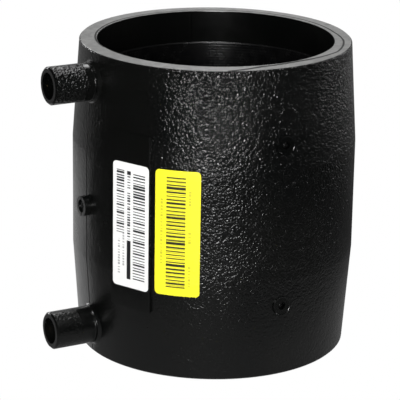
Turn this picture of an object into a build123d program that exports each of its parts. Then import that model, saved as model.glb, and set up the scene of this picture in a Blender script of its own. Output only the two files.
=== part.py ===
from build123d import *
import os

os.makedirs("parts", exist_ok=True)

# Electrofusion coupler for 110 mm polyethylene pressure pipe, standing on one end.
# Origin: on the bore axis, in the plane of the lower end face. +Z runs up the bore.
# The two terminals point to -X, on the mould's parting plane (XZ), and the fusion
# indicators face -Y. All sizes are in millimetres.

# Barrel
coupler_length = 147.8
end_dia = 128.7
mid_dia = 135.2
mid_length = 52.4          # the straight stretch between the two tapers
rim_break = 0.7
mouth_dia = 112.0          # cold zone at each mouth
mouth_depth = 15.8
mouth_break = 0.4
bore_step = 0.6            # from the cold zones in to the fusion zones and middle
stop_height = 1.8          # low ring that stops both pipes at mid length
stop_width = 3.0

# Heating coil: coated resistance wire laid turn against turn, fused into two sleeves
coil_length = 33.6
coil_thickness = 2.2
lead_dia = 1.0
lead_inset = 0.8           # from the coil's outside to the middle of its wire
coil_cover = 1.2           # least plastic between the coil and what is cut or built over it

# Terminal shrouds and their pins
terminal_inset = 14.2      # from each end face to the terminal's axis
terminal_reach = 86.8      # from the bore axis to the shroud's mouth
shroud_dia = 17.8
shroud_bore = 12.6
shroud_depth = 16.5
shroud_lip = 0.8
shroud_root = 1.2          # slope where the shroud leaves the barrel
pin_dia = 4.7
pin_recess = 4.5           # from the shroud's mouth back to the pin's tip
pin_tip_break = 0.8
pin_collar_dia = 6.4
pin_collar_length = 2.6
pin_shank_dia = 3.6
pin_cover = 2.8            # from the coil's outside to the inner end of the pin

# Gate boss on the parting line, at mid height
gate_dia = 9.6
gate_height = 2.8
gate_dish_dia = 6.2
gate_dish_depth = 0.9
gate_nub_dia = 1.6
gate_nub_height = 0.6

# Fusion indicators
indicator_offset = 38.6    # from mid height
indicator_boss_dia = 8.8
indicator_boss_height = 0.7
indicator_bore = 3.6
indicator_clearance = 0.1
indicator_recess = 1.2     # from the boss face back to the indicator's tip

# Flat pad for the white label
pad_angle = -64.8          # of the pad's normal, from -Y towards +X
pad_distance = 67.0        # from the bore axis to the pad's face
pad_left = 9.1
pad_right = 13.5
pad_height = 84.0

# Labels
label_film = 0.15
label_height = 60.0
label_corner = 2.0
white_label_width = 20.6
white_label_shift = 2.3    # from the pad's normal, towards its right edge
yellow_label_angle = -42.6
yellow_label_width = 21.2
label_lift = -2.2          # of both labels' middles, from mid height

mid_z = coupler_length / 2
mouth_r = mouth_dia / 2
bore_r = mouth_r - bore_step
coil_r = bore_r + coil_thickness
cover_r = coil_r + coil_cover
pin_foot = coil_r + pin_cover
terminal_heights = {"lower": terminal_inset, "upper": coupler_length - terminal_inset}
indicator_heights = {"lower": mid_z - indicator_offset, "upper": mid_z + indicator_offset}
shroud_floor = terminal_reach - shroud_depth
pin_tip = terminal_reach - pin_recess


def barrel_profile(skin=0.0):
    """Outer outline of the barrel in the XZ plane, offset outwards by a skin."""
    taper_start = (coupler_length - mid_length) / 2
    return [
        (end_dia / 2 + skin, 0),
        (mid_dia / 2 + skin, taper_start),
        (mid_dia / 2 + skin, coupler_length - taper_start),
        (end_dia / 2 + skin, coupler_length),
    ]


def facing(angle, distance=0.0, z=0.0):
    """A plane that faces outwards at an angle from -Y towards +X, with its y upwards."""
    outward = Vector(0, -1, 0).rotate(Axis.Z, angle)
    right = Vector(1, 0, 0).rotate(Axis.Z, angle)
    return Plane(origin=outward * distance + Vector(0, 0, z), x_dir=right, z_dir=outward)


def through_axis(angle):
    """A plane that holds the bore axis, with its x outwards and its y upwards."""
    outward = Vector(0, -1, 0).rotate(Axis.Z, angle)
    return Plane(origin=(0, 0, 0), x_dir=outward, z_dir=outward.cross(Vector(0, 0, 1)))


def barrel_radius(z):
    """Outer radius of the barrel at a height."""
    beyond = max(0, abs(z - mid_z) - mid_length / 2)
    slope = (mid_dia - end_dia) / (coupler_length - mid_length)
    return mid_dia / 2 - beyond * slope


# Bare wire: a link across the middle, and two ends that run out to the pins. It is one
# wire with the coil, and the body has a channel for it.
with BuildPart() as bare_wire:
    wire_r = coil_r - lead_inset
    with BuildSketch(Plane.XY.offset(mouth_depth + coil_length)):
        with Locations((wire_r, 0)):
            Circle(lead_dia / 2)
    extrude(amount=coupler_length - 2 * (mouth_depth + coil_length))
    for pin_z, coil_z in (
        (terminal_heights["lower"], mouth_depth),
        (terminal_heights["upper"], coupler_length - mouth_depth),
    ):
        with BuildLine():
            Polyline((-wire_r, 0, coil_z), (-wire_r, 0, pin_z), (-pin_foot, 0, pin_z))
        with BuildSketch(Plane.XY.offset(coil_z)):
            with Locations((-wire_r, 0)):
                Circle(lead_dia / 2)
        sweep(transition=Transition.RIGHT)

# Heating coil: coated wire, wound turn against turn and fused into one sleeve in each
# fusion zone. The end that faces the mouth slopes out to the wider cold zone.
with BuildPart() as heating_coil:
    for start in (mouth_depth, coupler_length - mouth_depth - coil_length):
        with BuildSketch(Plane.XY.offset(start)):
            Circle(coil_r)
            Circle(bore_r, mode=Mode.SUBTRACT)
        extrude(amount=coil_length)
    outer_edges = heating_coil.edges().filter_by(GeomType.CIRCLE).sort_by(Axis.Z)
    inner_ends = [
        e for e in (outer_edges[:2] + outer_edges[-2:]) if e.radius < (bore_r + coil_r) / 2
    ]
    chamfer(inner_ends, bore_step)
    add(bare_wire.part)

# Terminal pins: brass, each with a collar that holds it in the moulding.
pins = {}
for level, height in terminal_heights.items():
    with BuildPart() as terminal_pin:
        with BuildSketch(Plane.XZ):
            with BuildLine():
                Polyline(
                    (-pin_foot, height),
                    (-pin_foot, height + pin_shank_dia / 2),
                    (-shroud_floor, height + pin_shank_dia / 2),
                    (-shroud_floor, height + pin_collar_dia / 2),
                    (-shroud_floor - pin_collar_length, height + pin_collar_dia / 2),
                    (-shroud_floor - pin_collar_length, height + pin_dia / 2),
                    (-pin_tip, height + pin_dia / 2),
                    (-pin_tip, height),
                    close=True,
                )
            make_face()
        revolve(axis=Axis((0, 0, height), (1, 0, 0)))
        tip_edge = terminal_pin.edges().sort_by(Axis.X)[0]
        chamfer(tip_edge, pin_tip_break)
    terminal_pin.part.label = f"terminal_pin_{level}"
    export_step(terminal_pin.part, f"parts/terminal_pin_{level}.step")
    pins[level] = terminal_pin.part

# Coupler body: barrel, terminal shrouds, gate boss, indicator bosses, label pad and
# centre stop, all in one moulding.
with BuildPart() as coupler_body:
    with BuildSketch(Plane.XZ):
        with BuildLine():
            inside = [
                (mouth_r, coupler_length - mouth_break),
                (mouth_r, coupler_length - mouth_depth),
                (coil_r, coupler_length - mouth_depth),
                (coil_r, coupler_length - mouth_depth - coil_length),
                (bore_r, coupler_length - mouth_depth - coil_length),
                (bore_r, mid_z + stop_width / 2 + stop_height / 2),
                (bore_r - stop_height, mid_z + stop_width / 2),
            ]
            inside_lower = [(r, coupler_length - z) for r, z in reversed(inside)]
            Polyline(
                *barrel_profile(),
                (mouth_r + mouth_break, coupler_length),
                *inside,
                *inside_lower,
                (mouth_r + mouth_break, 0),
                close=True,
            )
        make_face()
    revolve(axis=Axis.Z)
    rims = coupler_body.edges().filter_by(GeomType.CIRCLE).filter_by(
        lambda e: abs(e.radius - end_dia / 2) < rim_break / 2
    )
    chamfer(rims, rim_break)

    # flat pad: raised where the barrel falls away, and cut where it bulges
    with BuildSketch(facing(pad_angle, pad_distance, mid_z)) as pad_outline:
        with Locations(((pad_right - pad_left) / 2, 0)):
            Rectangle(pad_left + pad_right, pad_height)
    extrude(amount=cover_r - pad_distance)
    extrude(pad_outline.sketch, amount=mid_dia / 2, mode=Mode.SUBTRACT)

    # terminal shrouds
    for height in terminal_heights.values():
        with BuildSketch(facing(-90, cover_r, height)):
            Circle(shroud_dia / 2)
        extrude(amount=terminal_reach - cover_r)
    shroud_walls = coupler_body.faces().filter_by(GeomType.CYLINDER).filter_by(
        lambda f: f.center().X < -mid_dia / 2
    )
    roots = shroud_walls.edges().filter_by(GeomType.CIRCLE, reverse=True).filter_by(
        GeomType.LINE, reverse=True
    )
    chamfer(roots, shroud_root)
    lips = coupler_body.faces().filter_by(Axis.X).group_by(Axis.X)[0].edges()
    chamfer(lips, shroud_lip)
    for height in terminal_heights.values():
        with BuildSketch(facing(-90, terminal_reach, height)):
            Circle(shroud_bore / 2)
        extrude(amount=-shroud_depth, mode=Mode.SUBTRACT)

    # gate boss: a raised ring with a nub of cut sprue in its dish
    with BuildSketch(facing(-90, cover_r, mid_z)):
        Circle(gate_dia / 2)
    extrude(amount=mid_dia / 2 + gate_height - cover_r)
    with BuildSketch(facing(-90, mid_dia / 2 + gate_height, mid_z)):
        Circle(gate_dish_dia / 2)
        Circle(gate_nub_dia / 2, mode=Mode.SUBTRACT)
    extrude(amount=-gate_dish_depth, mode=Mode.SUBTRACT)
    with BuildSketch(facing(-90, mid_dia / 2 + gate_height, mid_z)):
        Circle(gate_nub_dia / 2)
    extrude(amount=gate_nub_height - gate_dish_depth, mode=Mode.SUBTRACT)

    # fusion indicators: a low boss and a well each
    for height in indicator_heights.values():
        boss_face = barrel_radius(height) + indicator_boss_height
        with BuildSketch(facing(0, cover_r, height)):
            Circle(indicator_boss_dia / 2)
        extrude(amount=boss_face - cover_r)
        with BuildSketch(facing(0, cover_r, height)):
            Circle(indicator_bore / 2)
        extrude(amount=boss_face - cover_r, mode=Mode.SUBTRACT)

    # seats of the pins and channels of the wire
    for pin in pins.values():
        add(pin, mode=Mode.SUBTRACT)
    add(bare_wire.part, mode=Mode.SUBTRACT)

# Fusion indicators: short pins that rise in their wells when the melt pushes them.
for level, height in indicator_heights.items():
    boss_face = barrel_radius(height) + indicator_boss_height
    with BuildPart() as fusion_indicator:
        with BuildSketch(facing(0, cover_r, height)):
            Circle(indicator_bore / 2 - indicator_clearance)
        extrude(amount=boss_face - indicator_recess - cover_r)
    fusion_indicator.part.label = f"fusion_indicator_{level}"
    export_step(fusion_indicator.part, f"parts/fusion_indicator_{level}.step")

# White label: a film with rounded corners on the flat pad.
with BuildPart() as white_label:
    with BuildSketch(facing(pad_angle, pad_distance, mid_z + label_lift)):
        with Locations((white_label_shift, 0)):
            RectangleRounded(white_label_width, label_height, label_corner)
    extrude(amount=label_film)

# Yellow label: a film that follows the barrel, over its straight middle and the start of
# both tapers. It is cut from a quarter of a skin round the whole barrel.
with BuildPart() as yellow_label:
    with BuildSketch(through_axis(yellow_label_angle - 45)):
        with BuildLine():
            Polyline(*barrel_profile(), *reversed(barrel_profile(label_film)), close=True)
        make_face()
    revolve(axis=Axis.Z, revolution_arc=90)
    with BuildSketch(facing(yellow_label_angle, bore_r, mid_z + label_lift)):
        RectangleRounded(yellow_label_width, label_height, label_corner)
    extrude(amount=mid_dia / 2, mode=Mode.INTERSECT)

coupler_body.part.label = "coupler_body"
export_step(coupler_body.part, "parts/coupler_body.step")
heating_coil.part.label = "heating_coil"
export_step(heating_coil.part, "parts/heating_coil.step")
white_label.part.label = "white_label"
export_step(white_label.part, "parts/white_label.step")
yellow_label.part.label = "yellow_label"
export_step(yellow_label.part, "parts/yellow_label.step")
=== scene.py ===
import math

import bpy
from mathutils import Matrix, Vector


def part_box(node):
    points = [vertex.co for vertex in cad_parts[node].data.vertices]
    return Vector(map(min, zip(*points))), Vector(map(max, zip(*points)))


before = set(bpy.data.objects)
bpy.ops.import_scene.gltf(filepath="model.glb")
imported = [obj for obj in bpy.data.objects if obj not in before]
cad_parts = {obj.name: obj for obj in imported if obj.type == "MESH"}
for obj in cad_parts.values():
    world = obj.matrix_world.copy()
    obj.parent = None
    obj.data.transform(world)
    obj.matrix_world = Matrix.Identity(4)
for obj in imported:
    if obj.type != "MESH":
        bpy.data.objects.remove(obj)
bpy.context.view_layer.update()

# Floor: a sheet of white paper in a dim studio. It looks white and lights the coupler as
# paper does, but glossy plastic mirrors a painted glow on it: painted pools of light close
# by, a little towards the back and in one strip past the terminals, and painted shade elsewhere.
scene = bpy.context.scene
scene.view_settings.view_transform = "Standard"
body_low, body_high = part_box("coupler_body")
mid_height = (body_low.z + body_high.z) / 2
front_turn = math.radians(-29.0)        # of the side looked at, from -Y towards +X
WHITE = (1.0, 1.0, 1.0, 1.0)
PAPER = (0.93, 0.93, 0.93, 1.0)


class Socket:
    """One output socket, with the maths that masks and patterns are written in."""

    def __init__(self, tree, output):
        self.tree, self.output = tree, output

    def maths(self, operation, first, second=None):
        values = [v for v in (first, second) if v is not None]
        return self.tree.node("ShaderNodeMath", {"operation": operation}, dict(enumerate(values)))

    def __add__(self, other): return self.maths("ADD", self, other)
    def __radd__(self, other): return self.maths("ADD", other, self)
    def __sub__(self, other): return self.maths("SUBTRACT", self, other)
    def __rsub__(self, other): return self.maths("SUBTRACT", other, self)
    def __mul__(self, other): return self.maths("MULTIPLY", self, other)
    def __rmul__(self, other): return self.maths("MULTIPLY", other, self)
    def __truediv__(self, other): return self.maths("DIVIDE", self, other)
    def __rtruediv__(self, other): return self.maths("DIVIDE", other, self)
    def __neg__(self): return self.maths("MULTIPLY", self, -1.0)
    def __abs__(self): return self.maths("ABSOLUTE", self)
    def __gt__(self, other): return self.maths("GREATER_THAN", self, other)
    def __lt__(self, other): return self.maths("LESS_THAN", self, other)
    def floor(self): return self.maths("FLOOR", self)
    def fraction(self): return self.maths("FRACT", self)
    def sine(self): return self.maths("SINE", self)
    def power(self, other): return self.maths("POWER", self, other)
    def larger(self, other): return self.maths("MAXIMUM", self, other)
    def angle_to(self, other): return self.maths("ARCTAN2", self, other)

    def reach(self, other):
        """The distance from a centre, where both are measured from it."""
        return (self * self + other * other).power(0.5)

    def ramp(self, low, high, soft=True):
        """0 at low and before it, and 1 at high and past it."""
        kind = "SMOOTHSTEP" if soft else "LINEAR"
        return self.tree.node(
            "ShaderNodeMapRange", {"interpolation_type": kind},
            {"Value": self, "From Min": low, "From Max": high}, "Result")


class Tree:
    """A node tree, with the one method that every node but a Math node comes from."""

    def __init__(self, node_tree):
        self.nodes, self.links = node_tree.nodes, node_tree.links

    def node(self, kind, settings, sockets, output=0):
        made = self.nodes.new(kind)
        for key, value in settings.items():
            setattr(made, key, value)
        for key, value in sockets.items():
            self.enter(made.inputs[key], value)
        return Socket(self, made.outputs[output])

    def enter(self, target, value):
        if isinstance(value, Socket):
            self.links.new(value.output, target)
        else:
            target.default_value = value

    def when(self, ray, then, otherwise):
        """One shader for rays of a kind and another for the rest."""
        asked = self.node("ShaderNodeLightPath", {}, {}, ray)
        return self.node("ShaderNodeMixShader", {}, {0: asked, 1: otherwise, 2: then})


class Material(Tree):
    """A material: its shader, and the piece's own coordinates as place, x, y and z."""

    def __init__(self, name):
        self.material = bpy.data.materials.new(name)
        self.material.use_nodes = True
        super().__init__(self.material.node_tree)
        self.place = self.node("ShaderNodeTexCoord", {}, {}, "Object")
        split = self.node("ShaderNodeSeparateXYZ", {}, {0: self.place}).output.node
        self.x, self.y, self.z = [Socket(self, output) for output in split.outputs]

    def feed(self, **sockets):
        """Links or sets the shader's own sockets, named with underscores for spaces."""
        for key, value in sockets.items():
            self.enter(self.nodes["Principled BSDF"].inputs[key.replace("_", " ")], value)

    def noise(self, scale, detail=2.0):
        return self.node("ShaderNodeTexNoise", {},
                         {"Vector": self.place, "Scale": scale, "Detail": detail})

    def mix(self, mask, first, second):
        return self.node(
            "ShaderNodeMix", {"data_type": "RGBA"}, {"Factor": mask, 6: first, 7: second}, 2)

    def bump(self, height, depth, strength=1.0, under=None):
        sockets = {"Height": height, "Distance": depth, "Strength": strength}
        if under:
            sockets["Normal"] = under
        return self.node("ShaderNodeBump", {}, sockets)


bpy.ops.object.select_all(action="DESELECT")
bpy.ops.mesh.primitive_plane_add(size=6.0, location=(0, 0, body_low.z))
floor = bpy.context.object
floor.name = "floor"
m = Material("floor_paper")
# painted light and shade for glossy rays: the floor glows brighter close by, towards the back and
# in one strip, and is painted dark elsewhere
away = m.x.reach(m.y)
towards_back = m.y * math.cos(front_turn) - m.x * math.sin(front_turn)
past_terminals = m.x - body_low.x * 0.75
painted_bright_strip = (m.y / past_terminals.reach(m.y)).ramp(0.83, 0.88)
close_by = (1 - away.ramp(0.08, 0.20)) * 0.20
further_out = (1 - away.ramp(0.20, 0.42)) * 0.03
at_the_back = towards_back.ramp(0.05, 0.60) * 0.20
painted_floor_shade = 0.006
# the painted glow that glossy plastic mirrors in the floor; no lamp makes it
painted_floor_glow = close_by + further_out + at_the_back + painted_floor_shade
painted_floor_glow = painted_floor_glow.larger(painted_bright_strip * (0.62 - away.ramp(0.24, 0.42) * 0.42))
paper = m.node("ShaderNodeBsdfDiffuse", {}, {"Color": PAPER})
mirrored = m.node("ShaderNodeEmission", {}, {"Color": WHITE, "Strength": painted_floor_glow})
looked_at = m.node("ShaderNodeEmission", {}, {"Color": WHITE, "Strength": 1.0})
surface = m.when("Is Glossy Ray", mirrored, paper)
surface = m.when("Is Transmission Ray", looked_at, surface)
surface = m.when("Is Camera Ray", looked_at, surface)
m.enter(m.nodes["Material Output"].inputs["Surface"], surface)
floor.data.materials.append(m.material)


# Surround: a white backdrop behind the coupler and an even, dim light all round. Glossy
# plastic mirrors a dark room in front and the soft grey of the backdrop behind.
world = bpy.data.worlds.new("surround")
scene.world = world
world.use_nodes = True
sky = Tree(world.node_tree)


def glow(strength):
    return sky.node("ShaderNodeBackground", {}, {"Color": WHITE, "Strength": strength})


direction = sky.node("ShaderNodeTexCoord", {}, {}, "Generated")
backwards = (-math.sin(front_turn), math.cos(front_turn), 0.0)
behind = sky.node(
    "ShaderNodeVectorMath", {"operation": "DOT_PRODUCT"}, {0: direction, 1: backwards}, "Value")
dark_room, grey_backdrop = 0.006, 0.40
mirrored = behind.ramp(0.35, 1.0) * (grey_backdrop - dark_room) + dark_room
surface = sky.when("Is Glossy Ray", glow(mirrored), glow(0.30))
surface = sky.when("Is Transmission Ray", glow(1.0), surface)
surface = sky.when("Is Camera Ray", glow(1.0), surface)
sky.enter(sky.nodes["World Output"].inputs["Surface"], surface)


# Camera: a long lens a metre away, above the coupler's middle and 29 degrees to the
# left of its front, with a slight roll.
view_height = math.radians(17.61)
view_distance = 0.9997
view_roll = math.radians(1.026)
aim_left = 0.0062
aim_below = 0.0067
camera_data = bpy.data.cameras.new("camera")
camera_data.lens = 186.3
camera = bpy.data.objects.new("camera", camera_data)
scene.collection.objects.link(camera)
scene.camera = camera
middle = Vector((0, 0, mid_height))


def outwards(turn, height):
    """A direction away from the coupler, turned from -Y towards +X and raised."""
    return Vector((math.sin(turn) * math.cos(height), -math.cos(turn) * math.cos(height),
                   math.sin(height)))


towards = outwards(front_turn, view_height)
across = Vector((math.cos(front_turn), math.sin(front_turn), 0))
upwards = towards.cross(across)
aim = middle - across * aim_left - upwards * aim_below
camera.location = middle + towards * view_distance
line_of_sight = (camera.location - aim).normalized()
side = upwards.cross(line_of_sight).normalized()
level = Matrix((side, line_of_sight.cross(side), line_of_sight)).transposed()
camera.rotation_mode = "QUATERNION"
camera.rotation_quaternion = (level @ Matrix.Rotation(view_roll, 3, "Z")).to_quaternion()


# Lamps: softboxes that face the coupler's middle. The narrow ones in front and above make
# the bright band and the glints of the grain, and the others lift the sides and the rim.
def softbox(name, turn, height, distance, width, tall, power, mirrored=True):
    lamp = bpy.data.lights.new(name, "AREA")
    lamp.shape = "RECTANGLE"
    lamp.size = width
    lamp.size_y = tall
    lamp.energy = power
    holder = bpy.data.objects.new(name, lamp)
    holder.visible_glossy = mirrored
    holder.visible_camera = False
    scene.collection.objects.link(holder)
    out = outwards(math.radians(turn), math.radians(height))
    holder.location = middle + out * distance
    holder.rotation_mode = "QUATERNION"
    holder.rotation_quaternion = out.to_track_quat("Z", "Y")


softbox("key_softbox", -33, 12, 1.0, 0.12, 0.28, 6.0)
softbox("top_softbox", -29, 78, 1.0, 0.22, 0.22, 3.0)
softbox("left_softbox", -95, 35, 1.2, 0.50, 0.50, 2.0, mirrored=False)
softbox("right_softbox", 72, 14, 1.2, 0.14, 0.28, 0.8)
softbox("left_back_softbox", -165, 14, 1.2, 0.14, 0.28, 1.6)
softbox("right_edge_softbox", 104, 14, 1.0, 0.16, 0.40, 1.0)
softbox("back_softbox", 150, 52, 1.2, 0.50, 0.50, 4.0)


# Coupler body: one injection moulding in black polyethylene. Its outside and the outer
# part of the terminal shrouds have the mould's spark-eroded grain; the label pad, the
# shroud roots and the bore are smooth, and both end faces are turned flat.
end_radius = 0.06435
polyethylene = Material("black_polyethylene")
m = polyethylene
radius = m.x.reach(m.y)
turn = m.x.angle_to(-m.y)
above_middle = m.z - mid_height
from_middle = abs(above_middle)
at_front = m.y < 0.0
at_terminals = m.x < 0.0
outside = radius > 0.0600

# the turned end faces
end_face = (from_middle > mid_height - 0.0002) * (radius < end_radius)

# the flat pad for the white label, with a slightly worn right edge
pad_turn = math.radians(-64.8)
pad_distance = 0.0670
pad_left, pad_right, pad_height = 0.0091, 0.0135, 0.0840
pad_across = m.x * math.cos(pad_turn) + m.y * math.sin(pad_turn)
pad_out = m.x * math.sin(pad_turn) - m.y * math.cos(pad_turn)
on_pad = ((pad_across > -pad_left) * (pad_across < pad_right)
          * (from_middle < pad_height / 2) * (pad_out > pad_distance - 0.0004))
pad_edge = on_pad * (1 - pad_across.ramp(pad_right - 0.0013, pad_right))

# the terminal shrouds: smooth at the root, the upper one for a shorter stretch
terminal_offset = 0.0597
shroud_grain_start = 0.0735 - (m.z > mid_height) * 0.0030
past_root = (-m.x - shroud_grain_start).ramp(-0.0006, 0.0006)
shroud_way = m.y.reach(from_middle - terminal_offset)
shroud_zone = shroud_way < 0.0106
beside_barrel = shroud_zone * (m.x < -0.0550)
shroud_lip = -m.x > 0.0862
shroud_bore = (shroud_way < 0.0072) * (m.x < -0.0690)
shroud_foot = shroud_zone * (1 - abs(radius - 0.0672).ramp(0.0, 0.0006)) * at_terminals

# the gate boss and the indicator bosses, each indicator's in a shallow ring
indicator_offset = 0.0386
on_gate = (m.y.reach(above_middle) < 0.0052) * at_terminals
indicator_way = m.x.reach(from_middle - indicator_offset)
on_indicator = (indicator_way < 0.0050) * at_front
indicator_ring = on_indicator * (1 - indicator_way.ramp(0.0040, 0.0046))

# the mould's parting line, and two nicks that it left on the front
seam = (1 - abs(m.y).ramp(0.00025, 0.00060)) * outside * (1 - beside_barrel)
beside_seam = (1 - abs(m.y).ramp(0.0002, 0.0007)) * (1 - past_root)
nick_side = 0.0012
upper_nick, lower_nick = [
    (1 - (m.x - nick_side).reach(above_middle - nick_height).ramp(0.0, 0.0008)) * at_front
    for nick_height in (0.019, -0.002)]

# the grain is a field of low domes about a millimetre apart, softly uneven, and worn
# down in the mould towards the foot and the terminals
faded_foot = 0.45 + m.z.ramp(0.012, 0.060) * 0.55
faded_side = 1 - (-m.x).ramp(0.036, 0.062) * (1 - past_root) * 0.70
grained = outside * (1 - on_pad) * (1 - beside_barrel * (1 - past_root) * 0.8)
grained = grained * (1 - shroud_lip) * (1 - end_face) * (1 - shroud_bore)
grained = grained * (1 - on_gate) * (1 - on_indicator) * (1 - beside_seam)
grained = grained * faded_foot * faded_side
drift = m.node("ShaderNodeTexNoise", {}, {"Vector": m.place, "Scale": 520.0, "Detail": 1.0},
               "Color")
shaken = m.node("ShaderNodeMix", {"data_type": "VECTOR"},
                {"Factor": 0.0008, 4: m.place, 5: drift}, 1)
domes = m.node("ShaderNodeTexVoronoi", {"feature": "SMOOTH_F1"},
               {"Vector": shaken, "Scale": 980.0, "Smoothness": 0.2}, "Distance")
uneven = 0.55 + m.noise(480.0, 1.0).ramp(0.30, 0.70) * 0.55
steeper_on_top = 0.86 + m.z.ramp(0.085, 0.125) * 0.34
grain = (1 - domes * domes * 1.5 + m.noise(1500.0, 1.0) * 0.2) * grained
grain = grain * uneven * steeper_on_top

# the knife of the facing cut left one line, which cuts in from the rim's edge in front,
# comes part of the way back and then winds inwards, finer as it goes
line_start = math.radians(-24.0)
line_end = 0.8056
wound = ((turn - line_start) / (2 * math.pi)).fraction()
line_radius = (end_radius
               - wound.ramp(0.0, 0.045, soft=False) * 0.0058
               - wound.ramp(0.045, 0.085, soft=False) * 0.0009
               + wound.ramp(0.100, 0.172, soft=False) * 0.0036
               - wound.ramp(0.172, 0.2306, soft=False) * 0.0011
               - wound.ramp(0.2306, 0.278, soft=False) * 0.0020
               - wound.ramp(0.403, line_end, soft=False) * 0.0016)
finer = wound.ramp(0.08, 0.19)
line_width = 0.0012 - finer * 0.0006
line_depth = 4.0 - finer * 2.6
facing_line = 1 - (abs(radius - line_radius) / line_width).ramp(0.45, 1.0)
facing_line = facing_line * (wound < line_end) * end_face * (m.z > mid_height)

# lathe rings on the end faces, and one line down the back of the bore
lathe_rings = (radius * 9000.0 + m.noise(40.0, 1.0) * 2.0).sine() * end_face
bore_line = 1 - abs(turn - math.radians(164.0)).ramp(0.004, 0.014)
bore_line = bore_line * (radius < 0.0575)

sink = m.noise(60.0) * 0.3
swell = m.bump(sink + pad_edge * 0.5 - indicator_ring * 0.275 + shroud_foot * 0.3
               + (upper_nick + lower_nick) * 0.3, 0.0012)
tooling = m.bump(lathe_rings * 0.3 + (seam + bore_line) * 2.5 - facing_line * line_depth,
                 0.00016, 0.8, under=swell)
surface_normal = m.bump(grain, 0.00027, under=tooling)

black = m.mix(m.noise(25.0).ramp(0.35, 0.65),
              (0.0018, 0.0021, 0.0020, 1), (0.0032, 0.0034, 0.0031, 1))
# painted sheen: the end faces' light grey colour stands in for the bright surround they mirror;
# the facing line is left out of it and shows black
painted_end_face_sheen = m.mix(m.noise(300.0).ramp(0.3, 0.7),
               (0.17, 0.17, 0.167, 1), (0.24, 0.24, 0.235, 1))
colour = m.mix(end_face * (1 - facing_line * 0.85), black, painted_end_face_sheen)
duller_below = 1 - m.z.ramp(0.070, 0.125)
roughness = (0.16 + m.noise(120.0) * 0.06 + grained * 0.05 + duller_below * 0.06
             + end_face * 0.22 + (seam + facing_line) * 0.5)
m.feed(Base_Color=colour, Roughness=roughness, Normal=surface_normal, IOR=1.51)


def dress(node_name, finish):
    """Puts one finish on the whole of a CAD node."""
    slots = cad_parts[node_name].data.materials
    slots.clear()
    slots.append(finish.material)


dress("coupler_body", polyethylene)


# Heating coil: resistance wire coated in the same plastic, wound turn against turn and
# fused, so the bore shows it as a sleeve with a fine rib at each turn. The end turns are
# pressed round where the sleeve meets the wider mouth.
turn_pitch = 0.0014
coil_low, coil_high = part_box("heating_coil")
coated_wire = Material("coated_wire")
m = coated_wire
turns = m.z / turn_pitch + m.x.angle_to(-m.y) / (2 * math.pi)
uneven = m.noise(260.0)
rounded_end = m.bump((coil_high.z - m.z).ramp(0.0, 0.0009), 0.0008)
ribs = (turns * (2 * math.pi)).sine()
ribbed = m.bump(ribs * 0.5 + uneven * 0.6, 0.00009, 0.8, under=rounded_end)
shade = m.mix(uneven.ramp(0.3, 0.7), (0.0030, 0.0031, 0.0033, 1), (0.0060, 0.0060, 0.0060, 1))
m.feed(Base_Color=shade, Roughness=0.20 + uneven * 0.12, Normal=ribbed, IOR=1.51)
dress("heating_coil", coated_wire)


# Terminal pins: turned brass, dulled by handling, deep in the shade of their shrouds and
# held there by the moulding, with the ends of the wire joined to them inside.
pin_brass = Material("pin_brass")
m = pin_brass
film = m.noise(500.0, 3.0)
brass = m.mix(film.ramp(0.35, 0.7), (0.62, 0.44, 0.17, 1), (0.46, 0.31, 0.12, 1))
lathe_marks = m.bump((m.x * 14000.0).sine() * 0.3 + film * 0.3, 0.00004, 0.5)
m.feed(Base_Color=brass, Metallic=1.0, Roughness=0.26 + film * 0.16, Normal=lathe_marks)
dress("terminal_pin_upper", pin_brass)
dress("terminal_pin_lower", pin_brass)


# Fusion indicators: small plastic pins, each smooth and round-tipped from its own mould.
# They stand in the wells of the front bosses until the melt pushes them out.
indicator_plastic = Material("indicator_polyethylene")
m = indicator_plastic
mould = m.noise(700.0)
way = m.x.reach(abs(m.z - mid_height) - indicator_offset)
round_tip = m.bump(1 - way * way * 340000.0, 0.0013)
satin = m.bump(mould, 0.00005, 0.5, under=round_tip)
dark = m.mix(mould, (0.006, 0.006, 0.006, 1), (0.012, 0.012, 0.012, 1))
m.feed(Base_Color=dark, Roughness=0.22 + mould * 0.1, Normal=satin, IOR=1.51)
dress("fusion_indicator_upper", indicator_plastic)
dress("fusion_indicator_lower", indicator_plastic)


# White label: a printed film with rounded corners, stuck on the flat pad. Its print is
# kept to two plain ladders of bars, a strip of blocks and dashes, and says nothing.
def bars(m, pitch, share, seed):
    """A ladder of bars at an even pitch, each of its own thickness, with a few left out."""
    step = m.z / pitch
    chance = m.node("ShaderNodeTexWhiteNoise", {"noise_dimensions": "1D"},
                    {"W": step.floor() + seed}, "Value")
    return (step.fraction() < chance * chance * share + 0.26) * (chance > 0.04)


def within(value, low, high):
    return (value > low) * (value < high)


def print_on(m, paper, ink, printed):
    """A film in the paper's colour, with faint fibres and the print in its ink."""
    fibre = m.noise(350.0)
    aged = m.mix(fibre.ramp(0.4, 0.8) * 0.25, paper, tuple(c * 0.9 for c in paper[:3]) + (1,))
    m.feed(Base_Color=m.mix(printed, aged, ink), Roughness=0.42 + printed * 0.1,
           Normal=m.bump(fibre, 0.00003, 0.3))


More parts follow.
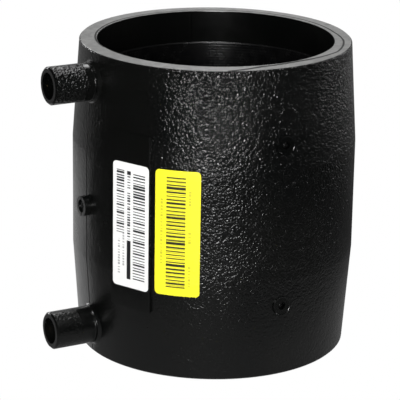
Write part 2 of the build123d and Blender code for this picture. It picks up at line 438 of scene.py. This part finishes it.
low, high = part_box("white_label")
centre = (low + high) / 2
white_film = Material("white_film")
m = white_film
shift = centre.x * math.cos(pad_turn) + centre.y * math.sin(pad_turn)
across = m.x * math.cos(pad_turn) + m.y * math.sin(pad_turn) - shift
down = high.z - m.z
left_ladder = within(across, -0.0082, -0.0038) * within(down, 0.0038, 0.0340)
left_ladder = left_ladder * bars(m, 0.00130, 0.55, 3.0)
right_ladder = within(across, 0.0014, 0.0082) * within(down, 0.0040, 0.0562)
right_ladder = right_ladder * bars(m, 0.00136, 0.55, 11.0)
strip = within(across, -0.0022, 0.0)
blocks = strip * within(down, 0.0038, 0.0056).larger(within(down, 0.0372, 0.0560))
beads = within(across, -0.0020, -0.0003) * within(down, 0.0062, 0.0365)
beads = beads * bars(m, 0.00130, 0.75, 29.0)
dashes = within(across, -0.0074, -0.0062) * within(down, 0.0372, 0.0540)
dashes = dashes.larger(within(across, -0.0047, -0.0037) * within(down, 0.0340, 0.0500))
dashes = dashes * bars(m, 0.00140, 0.70, 47.0) * 0.55
printed = left_ladder.larger(right_ladder).larger(blocks).larger(beads).larger(dashes)
print_on(m, (0.83, 0.83, 0.82, 1), (0.012, 0.012, 0.014, 1), printed)
dress("white_label", white_film)


# Yellow label: a second printed film beside the pad, bent round the barrel. It has one
# ladder of thick and thin bars and two faint lines of dashes, and says nothing.
barrel_radius = 0.0676
low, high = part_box("yellow_label")
centre = (low + high) / 2
yellow_film = Material("yellow_film")
m = yellow_film
centre_turn = math.atan2(centre.x, -centre.y)
across = (m.x.angle_to(-m.y) - centre_turn) * barrel_radius
down = high.z - m.z
ladder = within(across, -0.0052, 0.0038) * within(down, 0.0032, 0.0560)
thick_and_thin = bars(m, 0.00175, 0.55, 5.0).larger(bars(m, 0.00093, 0.25, 8.0) * 0.45)
left_dashes = within(across, -0.0080, -0.0069) * within(down, 0.0130, 0.0450)
right_groups = within(down, 0.0090, 0.0172).larger(
    within(down, 0.0285, 0.0350)).larger(within(down, 0.0450, 0.0550))
right_dashes = within(across, 0.0052, 0.0064) * right_groups
dashes = left_dashes.larger(right_dashes) * bars(m, 0.00150, 0.60, 17.0) * 0.35
printed = (ladder * thick_and_thin).larger(dashes)
print_on(m, (0.90, 0.84, 0.012, 1), (0.020, 0.018, 0.010, 1), printed)
dress("yellow_label", yellow_film)
